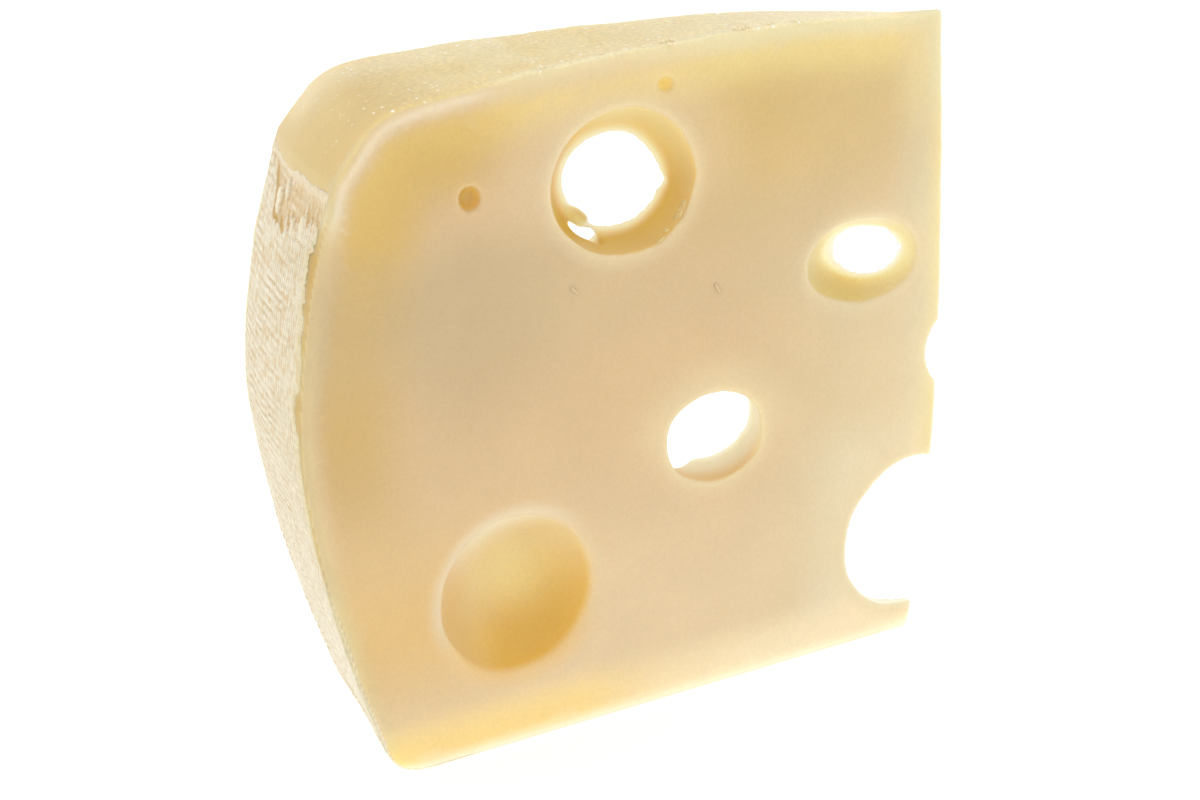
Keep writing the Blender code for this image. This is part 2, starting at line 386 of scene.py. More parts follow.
def smoothBy(piece, levels, turns):
    # smooths each point by its level, in twentieths
    group = piece.vertex_groups.new(name="softness")
    for level in range(1, paste["mostSoft"] + 1):
        chosen = np.nonzero(levels == level)[0]
        if len(chosen):
            group.add(chosen.tolist(), level / paste["mostSoft"], "REPLACE")
    applyModifier(piece, "SMOOTH", factor=0.5, iterations=turns, vertex_group="softness")
    piece.vertex_groups.clear()


def soften(piece):
    # the thin end keeps its edges, the rest is rounded as a wire leaves it
    radii = wheelPlace(readPoints(piece))[0]
    least, most = paste["leastSoft"], paste["mostSoft"]
    levels = np.round(least + (most - least) * smoothStep(radii, paste["keenRadius"], paste["softRadius"]))
    smoothBy(piece, levels.astype(int), paste["smoothTurns"])


def softenRims(piece):
    # the thin rims of the openings are drawn out smooth, and the blind eye's mouth is well rounded
    points = readPoints(piece)
    radii, angles, heights = wheelPlace(points)
    frontDepth = np.abs(points[:, 1] - axisY)
    backDepth = np.abs(radii * np.sin(np.clip(wedgeAngle - angles, -1.0, 1.0)))
    for turns, names, reach, depth in (
            (paste["rimTurns"], ("greatEye", "middleEye", "tipEye"), paste["rimReach"], backDepth),
            (paste["roundedTurns"], ("blindEye",), paste["roundedReach"], frontDepth)):
        weights = np.zeros(len(points))
        for name in names:
            away = np.hypot(wallGap(points, eyes[name]), depth)
            weights = np.maximum(weights, 1.0 - smoothStep(away, paste["fullShare"] * reach, reach))
        smoothBy(piece, np.round(weights * paste["mostSoft"]).astype(int), turns)


def insetOf(radii, heights):
    # distance in from the outline of the cut, and the way out of it, at each point
    line = np.array(cutOutline())
    flat = np.stack((radii, heights), 1)
    best = np.full(len(flat), np.inf)
    outward = np.zeros((len(flat), 2))
    for start, way in zip(line, np.roll(line, -1, axis=0) - line):
        share = np.clip(((flat - start) @ way) / (way @ way), 0.0, 1.0)
        distance = ((flat - start - share[:, None] * way) ** 2).sum(1)
        closer = distance < best
        best[closer] = distance[closer]
        outward[closer] = np.array((way[1], -way[0])) / math.sqrt(way @ way)
    return np.sqrt(best), outward


def readSurface(piece):
    # how much each point of the paste belongs to the rind or to a cut face, with its distances
    points, normals = readPoints(piece), readPoints(piece, "normal")
    radii, angles, heights = wheelPlace(points)
    inset, outward = insetOf(radii, heights)
    facing = (outward[:, 0] * (normals[:, 1] * np.sin(angles) - normals[:, 0] * np.cos(angles))
              + outward[:, 1] * normals[:, 2])
    rind = smoothStep(facing, *paste["rindFacing"]) * falling(inset, *paste["rindInset"])
    rind *= rising(radii, *paste["rindRadius"])
    frontDepth = points[:, 1] - axisY
    backDepth = radii * np.sin(np.clip(wedgeAngle - angles, -1.0, 1.0))
    cutFace = falling(np.minimum(np.abs(frontDepth), np.abs(backDepth)), *paste["faceDepth"])
    return SimpleNamespace(points=points, normals=normals, radii=radii, angles=angles, heights=heights,
                           inset=inset, rind=rind, cutFace=cutFace * (1.0 - rind), frontDepth=frontDepth,
                           backDepth=backDepth, side=radii * angles, farSide=radii * (wedgeAngle - angles))


# the dry skin of the rind on the side, with the print of the cloth it was pressed in; all in millimetres,
# with s running back from the front cut and z up from the base
skin = {
    "acrossSteps": 140, "upSteps": 350, "flatStart": 1.0, "flatWidth": 43.0,
    "low": 5.6, "high": 127.0, "margin": 0.9, "footMargin": 0.25, "depth": 1.7, "seat": 0.12,
    "ribPitch": 1.85, "ribHeight": 0.18, "columnPitch": 1.12, "columnHeight": 0.15,
    "lump": 0.12, "fineLump": 0.8, "lip": 0.42, "topLip": 0.16, "footLip": 0.32, "crackLip": 0.50,
    "stripDepth": 0.32, "stripHem": 0.12,
    "calmHeights": (40.0, 60.0), "plainHeights": (40.0, 80.0), "shoulderHeights": (104.0, 110.0),
    "paintAcross": (0.4, 3.0), "paintFoot": (4.8, 7.4), "paintTop": (124.0, 126.3),
}
# where the skin has drawn back from the front edge: each crack opens and closes between pairs of heights
crack = {"opening": 2.6, "high": ((94.0, 104.0), (120.5, 122.0)), "low": ((79.5, 82.0), (87.0, 89.5)),
         "lowShare": 0.7, "slight": (55.0, 5.0), "slightShare": 0.3, "mean": 0.8, "limits": (0.25, 1.2)}
# the skin's unevenness, as layers of noise: strength, size of a lump in millimetres, and seed
skinNoise = {
    "crack": ((0.9, 2.6, 12.0), (0.5, 0.8, 24.0)),
    "topEdge": ((0.50, 4.0, 5.0), (0.45, 1.1, 6.0)), "footEdge": ((0.50, 5.0, 7.0),),
    "frontEdge": ((0.40, 3.4, 8.0), (0.40, 0.9, 9.0)), "backEdge": ((0.40, 3.9, 10.0), (0.40, 1.0, 11.0)),
    "wander": ((1.0, 9.0, 13.0),), "worn": ((0.9, 11.0, 14.0), (0.4, 3.0, 15.0)),
    "broken": ((2.0, (4.5, 1.4, 1.0), 22.0),), "stagger": ((0.22, (1.8, 7.0, 1.0), 25.0),),
    "lumps": ((1.0, 5.0, 16.0),), "fineLumps": ((1.0, 1.3, 17.0),),
    "teeth": ((1.6, (1.3, 9.0, 1.0), 18.0), (1.0, (0.55, 3.0, 1.0), 19.0)),
    "ragged": ((1.0, (1.1, 0.8, 1.0), 23.0),),
    "blotch": ((1.0, (0.8, 3.2, 1.0), 20.0), (0.5, (2.4, 1.0, 1.0), 21.0)),
}


def skinRough(s, z, name):
    points = np.stack(np.broadcast_arrays(s, z, 0.0), 1)
    return sum(strength * noiseAt(points, lengths, seed) for strength, lengths, seed in skinNoise[name])


def crackShare(z):
    # how far the skin has drawn back from the front edge, by height in millimetres
    high, low = (smoothStep(z, *opens) * (1.0 - smoothStep(z, *closes))
                 for opens, closes in (crack["high"], crack["low"]))
    slight = crack["slightShare"] * bell(z, *crack["slight"])
    share = np.maximum(high, np.maximum(crack["lowShare"] * low, slight))
    return share * np.clip(crack["mean"] + skinRough(0.0, z, "crack"), *crack["limits"])


def skinShare(side, farSide, height):
    # 1 where the dry rind skin covers the side of the paste, 0 beyond its border
    opened = crack["opening"] * mm * crackShare(height / mm)
    across = rising(np.minimum(side - opened, farSide), *skin["paintAcross"])
    return across * rising(height, *skin["paintFoot"]) * falling(height, *skin["paintTop"])


def readEyes(surface):
    # how much a point lies on the wall of an eye, the wall's colour there with its painted light and shade,
    # and how near a rim it is
    points, normals = surface.points, surface.normals
    eyeMask, tint = np.zeros(len(points)), np.ones((len(points), 4))
    farOff = 50 * mm
    rimGap = np.full(len(points), farOff)
    depth = np.minimum(surface.frontDepth, surface.backDepth)
    for table in (eyes, backEyes, chips):
        for name, placing in table.items():
            size, steep, slope, local = ballReach(points, placing, table is backEyes)
            wall = softWall if name == "blindEye" else keenWall
            mask = rising(depth, *wall["depth"]) * (1.0 - surface.rind)
            mask *= falling(np.abs(size - 1.0) / steep, *wall["reach"])
            roof, middle, bottom = [np.array(sheetColor(h)) for h in 3 * eyeTintsAndLight.get(name, (chipTint,))][:3]
            # the roof is painted lighter and the floor darker: painted light and shade
            up = (local[:, 2] / np.maximum(size, 0.2))[:, None]
            own = middle + (roof - middle) * smoothStep(up, 0.0, wall["roof"])
            own += (bottom - middle) * smoothStep(-up, 0.0, 0.8)
            tint = np.where((mask > eyeMask)[:, None], own, tint)
            eyeMask = np.maximum(eyeMask, mask)
            if table is not chips and "Pit" not in name:
                alongFace = slope - (slope * normals).sum(1)[:, None] * normals
                flatSlope = np.maximum(np.sqrt((alongFace ** 2).sum(1)), 0.3 * steep)
                gap = np.abs(size - 1.0) / flatSlope
                rimGap = np.minimum(rimGap, np.where(size > 0.6, gap, farOff))
    return eyeMask, tint, rimGap


body = makePaste()
soften(body)
softenRims(body)
surface = readSurface(body)
print("paste remeshed:", len(body.data.polygons), "faces")

# the wire left the cut faces wavy, cloth and shelf left the rind uneven, and the side is sunk under its skin
wavy = noiseAt(surface.points, paste["knifeLength"], 1.0) * paste["knifeWaver"] * surface.cutFace
uneven = noiseAt(surface.points, paste["rindLength"], 2.0) * paste["rindWaver"] * surface.rind
uneven *= rising(surface.heights, 1, 6)
moved = surface.points + surface.normals * (wavy + uneven)[:, None]
# the face falls gently into the blind eye
size, steep, slope = ballReach(surface.points, eyes["blindEye"])[:3]
flatSteep = np.hypot(slope[:, 0], slope[:, 2])
mouthGap = np.maximum(size - 1.0, 0.0) / np.maximum(flatSteep, 1.0)
moved[:, 1] += (paste["mouthDepth"] * (1.0 - smoothStep(mouthGap, 0.0, paste["mouthWidth"]))
                * falling(surface.frontDepth, 1, 4))
sunk = paste["sink"] * surface.rind * (surface.radii > paste["sinkRadius"])
sunk *= skinShare(surface.side, surface.farSide, surface.heights)
moved[:, 0] += np.cos(surface.angles) * sunk
moved[:, 1] -= np.sin(surface.angles) * sunk
writePoints(body, moved)
applyModifier(body, "DECIMATE", decimate_type="COLLAPSE", ratio=paste["kept"])
body.data.shade_smooth()
print("paste thinned:", len(body.data.polygons), "triangles")

surface = readSurface(body)
eyeMask, eyeTint, rimGap = readEyes(surface)
points, radii, heights = surface.points, surface.radii, surface.heights
inset, rind = surface.inset, surface.rind
frontDepth, backDepth, side, farSide = surface.frontDepth, surface.backDepth, surface.side, surface.farSide
nearCut = np.minimum(side, farSide)
patchy = np.clip(0.5 + noiseAt(points, paste["patchLength"], 3.0), 0.0, 1.0)
edgeRind = smoothStep(rind, 0.0, 0.35)
cornerShare = rising(radii, 106, 118) * rising(heights, 116, 124)
# the skin has come away from the front edge in places, and golden paste shows there
cracked = crackShare(heights / mm) * (radii > 130 * mm) * rising(side, 0.3, 0.8) * falling(side, 6, 8)
# painted light: light gathers in the blind eye a little nearer the tip than its middle; its lip carries a
# painted highlight above and a golden painted glow below
(blindRadius, blindHeight, _), (blindWide, _, blindHigh) = eyes["blindEye"][:2]
blindSide, blindUp = (radii - blindRadius) / blindWide, (heights - blindHeight) / blindHigh
blindGap = np.hypot(radii - blindRadius, heights - blindHeight)
glowGap = np.hypot(radii - 104 * mm, (heights - 32 * mm) * 1.1)
inBlind = eyeMask * (blindGap < 30 * mm)
blindLip = bell(frontDepth, 1.2 * mm, 1.3 * mm) * (blindGap < 30 * mm)
blindLip *= falling(np.abs(wallGap(points, eyes["blindEye"])), 2, 5)
# painted light: the paste round the great and the middle eye is thinner, and the light coming through it is
# painted as a paler halo
greatGap, middleGap = (wallGap(points, eyes[name]) for name in ("greatEye", "middleEye"))
tongueSize = ballReach(points, curds["tongue"])[0]
# the paste is dry along the border of the skin
dryTop = rind * rising(heights, 122, 124) * falling(heights, 128.5, 131)
dryFoot = falling(inset, 0.5, 1.6) * (radii > 100 * mm) * rising(heights, 3, 6) * falling(heights, 40, 60)

# the looks of the paste, painted light and shade among them, each laid over those before it: name, colour,
# and where it lies, by the distance from the axis, the height and the inset from the outline in millimetres
pasteLayers = [
    ("leftShade", "#cab189", rising(radii, 85, 118) * rising(heights, 55, 105)
     * (1.0 - 0.9 * rising(heights, 104, 119))),
    ("lowLight", "#e0c9a3", falling(heights, 18, 75)),
    ("upperRight", "#d5b879", rising(heights, 92, 128) * falling(radii, 55, 92)),
    ("thinLight", "#ddcaa2", falling(radii, 10, 66) * (1.0 - 0.65 * rising(heights, 90, 118))),
    # painted light: the thinnest end of the paste is painted paler as lit through, most of all low at the tip
    ("thinEdgeLight", "#dad0b0", falling(radii, 4, 20) * (1.0 - 0.7 * rising(heights, 95, 120))),
    ("thinTipLight", "#e6e1d4", falling(radii, 14, 44) * falling(heights, 10, 26)),
    ("notchLight", "#e3d5b2", 0.9 * falling(radii, 26, 46) * falling(heights, 44, 62)),
    ("sideBand", "#d1b275", rising(inset, 2, 7) * falling(inset, 11, 27) * rising(radii, 105, 128)
     * rising(heights, 34, 80)),
    ("topYellow", "#e5d08e", falling(inset, 5, 15) * falling(radii, 60, 90) * rising(heights, 115, 132)),
    # partly a dry edge, partly a painted highlight: a pale band along the top edge near the tip
    ("topPaleDryAndLit", "#e2d6ac", falling(inset, 1.5, 5) * falling(radii, 60, 90) * rising(heights, 120, 132)),
    ("topBand", "#e8d088", rising(inset, 1.5, 6) * falling(inset, 5, 17) * rising(heights, 110, 132)
     * rising(radii, 50, 85) * (1.0 - 0.6 * cornerShare * falling(inset, 4, 9))),
    ("cornerGold", "#d6b566", 0.7 * rising(inset, 3.5, 8) * falling(inset, 12, 24)
     * rising(radii, 98, 122) * rising(heights, 98, 118)),
    ("middleShade", "#cab78e", 0.28 * rising(radii, 22, 45) * rising(heights, 80, 94)
     * falling(heights, 108, 119)),
    ("tipTop", "#d6ccaa", 0.8 * falling(radii, 5, 22) * rising(heights, 88, 110)),
    # painted light: the lowest paste is lit through from the light table below
    ("footLight", "#f3deae", falling(heights, 2, 15)),
    ("footGold", "#dfbf84", rising(heights, 6, 32) * falling(heights, 34, 66) * rising(radii, 96, 128)),
    # painted light: a yellow glow low down on the rind side, from the light table
    ("footBrightGlow", "#f3d890", 0.9 * falling(heights, 5, 15) * rising(radii, 70, 100)),
    ("footPale", "#ecdfc2", 0.70 * falling(heights, 3, 16) * falling(radii, 40, 100)),
    # painted light: the bottom edge glows, lit from the light table
    ("footEdge", "#f6edd0", falling(heights, 0.5, 4)),
    # partly a dry edge, partly a painted highlight: pale lines along the cut's side, top and corner edges
    ("sideLineDryAndLit", "#dccb9c", (0.5 + 0.4 * patchy) * rising(heights, 4, 30) * falling(inset, 0.8, 5.0)
     * falling(heights, 118, 128)),
    ("topLineDryAndLit", "#e4d6ac", (0.6 + 0.3 * patchy) * rising(heights, 120, 130) * falling(inset, 0.8, 6.6)
     * rising(radii, 30, 60) * (1.0 - cornerShare)),
    ("cornerLineDryAndLit", "#e8ddc3", 0.75 * cornerShare * bell(inset, 2.1 * mm, 1.3 * mm)),
    ("cornerEdge", "#d6c498", 0.9 * cornerShare * (1.0 - 0.7 * rising(heights, 131, 140))
     * falling(inset, 0.6, 1.8)),
    ("sideDusk", "#cdb78e", 0.45 * falling(inset, 3, 6.5) * (radii > 116 * mm) * rising(heights, 88, 100)
     * falling(heights, 112, 121)),
    ("sideRim", "#cab48c", 0.7 * falling(inset, 0.6, 2.4) * (radii > 130 * mm) * rising(heights, 36, 60)
     * falling(heights, 114, 122)),
    # painted light: paler halos round the great and the middle eye, where thin paste lets light through
    ("greatHaloLight", "#e0cca8", 0.35 * falling(greatGap, 3, 18) * (1.0 - eyeMask)
     * rising(heights, 106, 120)),
    ("middleHaloLight", "#e6d6ac", 0.45 * falling(middleGap, 2, 12) * (1.0 - eyeMask)
     * rising(heights, 52, 64)),
    # painted highlight: a pale rim round the mouths of the eyes, weaker on the blind eye's lower side towards
    # the rind
    ("eyeRimHighlight", "#dccca8", 0.60 * falling(rimGap, 0.6, 4.5) * (1.0 - eyeMask)
     * (1.0 - 0.7 * (blindGap < 26 * mm) * smoothStep(blindSide - 0.5 * blindUp, 0.2, 0.9))),
    # the eye walls' colour, with painted light on the roofs and painted shade on the floors
    ("eyeWallAndLight", "eyeTint", eyeMask),
    ("middleGlow", "#f6efd8", 0.85 * eyeMask * (middleGap < 9 * mm) * falling(backDepth, 4, 14)),
    ("tipPale", "#dfd2a8", 0.6 * eyeMask * falling(radii, 15, 27) * rising(heights, 72, 78)),
    ("tongueLight", "#f4e6bc", 0.7 * (1.0 - smoothStep(tongueSize, 0.9, 1.5))),
    ("blindGlow", "#f8e8a8", 0.6 * eyeMask * falling(glowGap, 1, 13) * (frontDepth > 5 * mm)),
    ("blindTan", "#dcae62", 0.4 * inBlind * smoothStep(blindSide, 0.2, 0.7)
     * (1.0 - smoothStep(blindUp, 0.0, 0.6))),
    # painted highlight on the blind eye's upper lip, painted golden glow on its lower lip
    ("upperLipHighlight", "#dfd0b4", 0.80 * blindLip * smoothStep(blindUp + 0.7 * blindSide, -0.1, 0.8)),
    ("lowerLipGlow", "#e9c88c", 0.6 * blindLip * smoothStep(-blindUp, 0.3, 0.9)),
    ("eyeGlow", "#fffbea", eyeMask * (1.0 - smoothStep(backDepth, 0.1 * mm, 0.075 * radii))),
    ("blindPale", "#f0dca8", 0.3 * inBlind * smoothStep(-blindSide, 0.55, 0.95)
     * smoothStep(blindUp, -0.9, 0.2)),
    ("rindSkin", "#e7cf90", rind),
    ("rindPale", "#eddcaa", 0.6 * rind * patchy * rising(heights, 132, 140)),
    # painted light: the side rind is paler towards the base, as lit from the light table below
    ("footRindLit", "#f1e8d2", rind * falling(heights, 20, 60)),
    ("thinRind", "#f0e2b8", rind * falling(radii, 25, 100) * rising(heights, 130, 140)),
    # the shoulder's golden tone, laid darker there as painted shade
    ("shoulderToneAndShade", "#dabd7c", rind * rising(heights, 122, 125) * rising(radii, 114, 134)
     * (0.75 + 0.25 * patchy)),
    ("farLight", "#efdfb4", 0.65 * rind * falling(farSide, 5, 20) * (radii > 100 * mm)
     * rising(heights, 126, 136)),
    # partly a dry edge, partly a painted highlight: a pale line on the rind along the front edge
    ("rindEdgeDryAndLit", "#e6dab4", 0.8 * (1.0 - cornerShare) * edgeRind * falling(nearCut, 0.6, 3.2)
     * rising(radii, 30, 60) * rising(heights, 122, 130)),
    ("cornerRim", "#d8c69a", 0.9 * cornerShare * edgeRind * (1.0 - 0.7 * rising(heights, 131, 140))
     * falling(nearCut, 0.8, 2.6)),
    ("brimShade", "#d8c088", 0.3 * rind * rising(heights, 122, 125) * falling(heights, 127, 133)),
    ("sideEdge", "#e3d4ac", edgeRind * falling(heights, 120, 128) * rising(heights, 8, 30)),
    ("frontEdge", "#c9b07c", edgeRind * (side < farSide) * falling(heights, 117, 124)
     * rising(heights, 34, 60)),
    ("crackGold", "#c3a158", rind * cracked),
    ("turnedEdge", "#b3966a", 2.4 * rind * (1.0 - rind) * falling(nearCut, 1, 2)
     * falling(heights, 119, 127) * (radii > 120 * mm)),
]
# three more only steer the shader: where the paste is dry, where salt crystals are painted as glints, and
# where it is grainy
pasteMasks = [
    ("dryEdge", np.maximum(dryTop, dryFoot)),
    ("sparkle", rind * rising(heights, 128, 139) * (1.0 - 0.75 * rising(nearCut, 5, 12))),
    ("grainy", rind * rising(heights, 134, 140) * falling(radii, 128, 137)),
]
for name, mask in [(name, mask) for name, _, mask in pasteLayers] + pasteMasks + [("eyeTint", eyeTint)]:
    paintLayer(body, name, mask)

# the paste's finish, with noise scales per metre: clouding is about 18 mm across, the curd's grain 0.7 mm,
# and the rind's pores and salt crystals are 1 mm and 1.8 mm apart
pasteLook = {
    "color": "#d9bd92", "salt": "#fffdf2", "clouding": 55.0, "grain": 1500.0, "pores": 1000.0,
    "crystals": 560.0, "sprinkling": 260.0, "grainDepth": 0.0002, "poreDepth": 0.0006, "poreStrength": 0.55,
    "roughness": 0.42, "ior": 1.45, "scattering": (0.0044, 0.0041, 0.0035),
}


def pasteMaterial():
    # semi-hard cheese, pressed and cut with a wire: dense, faintly translucent and a little greasy, so it
    # scatters light under its surface and shines softly; the salt crystals on the rind are painted
    # near-white, partly as painted glints
    made, tree, shader = startMaterial("semiHardCheesePaste", {
        "Roughness": pasteLook["roughness"], "IOR": pasteLook["ior"], "Subsurface Scale": 1.0,
        "Subsurface Radius": pasteLook["scattering"]})
    color = layColors(tree, sheetColor(pasteLook["color"]),
                      [(name, hexText, 1.0) for name, hexText, _ in pasteLayers])
    dried, salted, porous = (addNode(tree, "Attribute", attribute_name=name, output="Fac")
                             for name, _ in pasteMasks)
    place = addNode(tree, "TexCoord", output="Object")
    mottle, grain, pores, patches = (
        addNode(tree, "TexNoise", {"Vector": place, "Scale": pasteLook[name], "Detail": detail,
                                   "Roughness": roughness})
        for name, detail, roughness in (("clouding", 3.0, 0.5), ("grain", 2.0, 0.5), ("pores", 4.0, 0.75),
                                        ("sprinkling", 1.0, 0.5)))
    both = addNode(tree, "Math", (mottle, grain), operation="ADD")
    clouded = addNode(tree, "MapRange", (both, 0.6, 1.4, 0.955, 1.045))
    grained = addNode(tree, "MapRange", (pores, 0.40, 0.66, 0.96, 1.14))
    grained = addNode(tree, "Mix", {0: porous, 2: 1.0, 3: grained}, data_type="FLOAT")
    for bright in (clouded, grained):
        color = addNode(tree, "VectorMath", (color, bright), operation="MULTIPLY")
    # salt crystals in sprinkled patches, painted near-white: partly their own white, partly painted glints
    crystals = addNode(tree, "TexVoronoi", {"Vector": place, "Scale": pasteLook["crystals"]})
    glint = addNode(tree, "MapRange", (crystals, 0.24, 0.14))
    sprinkled = addNode(tree, "MapRange", (patches, 0.46, 0.54))
    for share in (sprinkled, salted):
        glint = addNode(tree, "Math", (glint, share), operation="MULTIPLY")
    color = addNode(tree, "Mix", {0: glint, 6: color, 7: sheetColor(pasteLook["salt"])}, data_type="RGBA",
                    output=2)
    tree.links.new(color, shader.inputs["Base Color"])
    fine = addNode(tree, "Bump", {"Height": grain, "Strength": 0.35, "Distance": pasteLook["grainDepth"]})
    deep = addNode(tree, "Math", (porous, pasteLook["poreStrength"]), operation="MULTIPLY")
    rough = addNode(tree, "Bump", {"Height": pores, "Strength": deep, "Distance": pasteLook["poreDepth"],
                                   "Normal": fine})
    tree.links.new(rough, shader.inputs["Normal"])
    # where the dry skin is pressed on, the paste has dried too and lets no light through
    moist = addNode(tree, "Math", (1.0, dried), operation="SUBTRACT")
    tree.links.new(moist, shader.inputs["Subsurface Weight"])
    return made


body.data.materials.clear()
body.data.materials.append(pasteMaterial())
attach(body, "root")
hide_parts("cheese_wedge")
print("paste dressed")

# below the brim the outer skin was stripped off with the cloth: the lower edge of that, as s and z, in steps
stripEdge = ((0.0, 119.6), (2.6, 120.6), (9.0, 120.3), (11.0, 118.2), (13.5, 117.6), (19.0, 116.9),
             (20.5, 114.6), (28.5, 114.9), (30.0, 121.0), (33.0, 124.5), (44.0, 126.0))
# flakes that curl up off the side: middle s and z, half width and half height, rise
flakes = {
    "curl": ((25.8, 119.4), (1.3, 2.6), 0.34),
    "nearCurl": ((9.8, 118.4), (0.9, 2.4), 0.30),
    "midCurl": ((14.6, 117.2), (0.8, 1.7), 0.26),
    "farCurl": ((21.4, 122.6), (0.7, 2.2), 0.22),
}


def ripple(position):
    # a soft wave for each whole step, from -1.25 in the groove to 0.75 at its flatter top
    wave = np.cos(2.0 * math.pi * position)
    return wave * (1.0 - 0.25 * wave)


def patchShare(s, z, middle, halfSize, ragged):
    reach = np.hypot((s - middle[0]) / halfSize[0], (z - middle[1]) / halfSize[1])
    return 1.0 - smoothStep(reach + 0.30 * ragged, 0.86, 1.06)


def makeSkin():
    deselectAll()
    bpy.ops.mesh.primitive_grid_add(x_subdivisions=skin["acrossSteps"], y_subdivisions=skin["upSteps"],
                                    size=2.0, calc_uvs=True)
    made = bpy.context.object
    made.name = "rind_skin"
    flat = readPoints(made)
    shareAcross, shareUp = (flat[:, 0] + 1.0) / 2.0, (flat[:, 1] + 1.0) / 2.0
    flatS = skin["flatStart"] + skin["flatWidth"] * shareAcross
    flatZ = skin["low"] + (skin["high"] - skin["low"]) * shareUp
    high = skin["high"] + skinRough(flatS, 0.0, "topEdge")
    low = skin["low"] + skinRough(flatS, 0.0, "footEdge")
    z = low + (high - low) * shareUp
    fullWidth = np.array([sideRadius(h * mm) for h in z]) * wedgeAngle / mm
    # a crack has opened between the skin and the cut, widest below the brim; low down the border is calmer
    opened = crack["opening"] * crackShare(z)
    upper = smoothStep(z, *skin["calmHeights"])
    fray, backFray = ((0.3 + 0.7 * upper) * skinRough(0.0, flatZ, name) for name in ("frontEdge", "backEdge"))
    nearEnd = skin["margin"] * (1.0 - 0.5 * smoothStep(z, *skin["shoulderHeights"]))
    nearEnd += skin["footMargin"] * (1.0 - upper) + fray + opened
    farEnd = fullWidth - skin["margin"] - backFray
    s = nearEnd + (farEnd - nearEnd) * shareAcross

    wander, ragged = skinRough(s, z, "wander"), skinRough(s, z, "ragged")
    worn = np.clip(0.75 + skinRough(s, z, "worn"), 0.15, 1.3)
    broken = np.clip(0.5 + skinRough(s, z, "broken"), 0.0, 1.0)
    ribs = ripple((z + 0.6 * wander) / skin["ribPitch"] + skinRough(s, z, "stagger"))
    ribs *= (0.35 + 0.65 * smoothStep(s, 7.0, 18.0)) * (0.3 + 0.9 * broken)
    columns = ripple((s + 0.5 * wander) / skin["columnPitch"])
    columns *= (1.0 - 0.6 * smoothStep(s, 12.0, 24.0)) * (1.3 - 0.6 * broken)
    lower = 1.0 - smoothStep(z, *skin["plainHeights"])
    woven = worn * (1.0 + 0.45 * lower) * (skin["ribHeight"] * ribs + skin["columnHeight"] * columns) / 2.0
    fine = (skin["fineLump"] + 0.9 * lower) * skinRough(s, z, "fineLumps")
    lumps = skin["lump"] * (skinRough(s, z, "lumps") + fine)
    # the strip that came off with the cloth, its torn edge, and the flakes that lift from it
    edge = np.interp(s, *zip(*stripEdge)) + 1.5 * skinRough(s, z, "teeth")
    stripped = smoothStep(z, edge - 0.15, edge + 0.30) * (1.0 - smoothStep(z, high - 1.5, high - 0.8))
    lifted = s * 0.0
    for middle, halfSize, curl in flakes.values():
        lifted = np.maximum(lifted, patchShare(s, z, middle, halfSize, ragged) * curl)
    stripped *= 1.0 - smoothStep(lifted, 0.02, 0.10)
    torn = stripped * (1.0 - smoothStep(z - edge, 0.6, 2.2)) * (0.55 + 0.45 * smoothStep(s, 17.0, 21.0))
    # the border is turned down, but for the brim and the foot, where it is pressed on
    border = np.minimum(np.minimum(s - nearEnd, farEnd - s), np.minimum(z - low, high - z))
    overTop = (1.0 - smoothStep(high - z, 1.0, 3.4)) * smoothStep(s - nearEnd, 0.3, 1.4)
    rise = woven * (1.0 - 0.4 * stripped) + lumps * (1.0 - 0.75 * overTop) + lifted - skin["seat"]
    rise -= skin["stripDepth"] * stripped * (1.0 - overTop)
    rise += skin["stripHem"] * smoothStep(z, edge - 1.2, edge) * (1.0 - stripped) * (z < high - 1.5)
    rise -= skin["lip"] * (1.0 - smoothStep(border, 0.0, 0.9)) * (1.0 - overTop) * upper
    rise += skin["topLip"] * overTop + skin["footLip"] * (1.0 - upper) * (1.0 - smoothStep(border, 0.4, 1.6))
    crackEdge = np.minimum(opened / crack["opening"], 1.0) * (1.0 - smoothStep(s - nearEnd, 0.5, 2.6))
    rise += skin["crackLip"] * crackEdge

    points = np.empty_like(flat)
    for i, (alongSide, height, proud) in enumerate(zip(s, z, rise)):
        radius = sideRadius(height * mm)
        angle = alongSide * mm / radius
        away = settle(Vector((-math.cos(angle), math.sin(angle))) * radius, height * mm)
        away *= 1.0 + proud * mm / radius
        points[i] = (axisX + away.x, axisY + away.y, height * mm)
    writePoints(made, points)

    # the pattern is laid out in millimetres for the cloth's threads
    layout = made.data.uv_layers.active.data
    corners = np.empty(len(made.data.loops), int)
    made.data.loops.foreach_get("vertex_index", corners)
    layout.foreach_set("uv", np.stack((s, z), 1)[corners].astype(np.float32).reshape(-1))
    blotch = skinRough(s, z, "blotch")
    stained = smoothStep(blotch, 0.02, 0.38) * smoothStep(z, 20.0, 60.0)
    stained *= 0.45 + 0.30 * smoothStep(z, 60.0, 100.0)
    stained = np.maximum(stained, stripped * (0.55 + 0.45 * smoothStep(blotch, -0.2, 0.3)))
    masks = {
        "groove": smoothStep(-woven, -0.02, 0.10), "stain": stained, "torn": torn,
        # painted light: the skin is laid paler low down, as lit from the light table below
        "lowSkinLit": 1.0 - smoothStep(z, 8.0, 95.0), "crest": smoothStep(woven + lumps, 0.02, 0.16),
        "curled": smoothStep(lifted, 0.05, 0.25),
        "brimBand": 0.9 - 0.9 * smoothStep(high - z + 0.8 * ragged, 0.6, 3.2),
        "beside": 1.0 - smoothStep(np.minimum(s - nearEnd, 5.0 * (high - z)), 0.0, 4.0),
    }
    for name, values in masks.items():
        paintLayer(made, name, values)

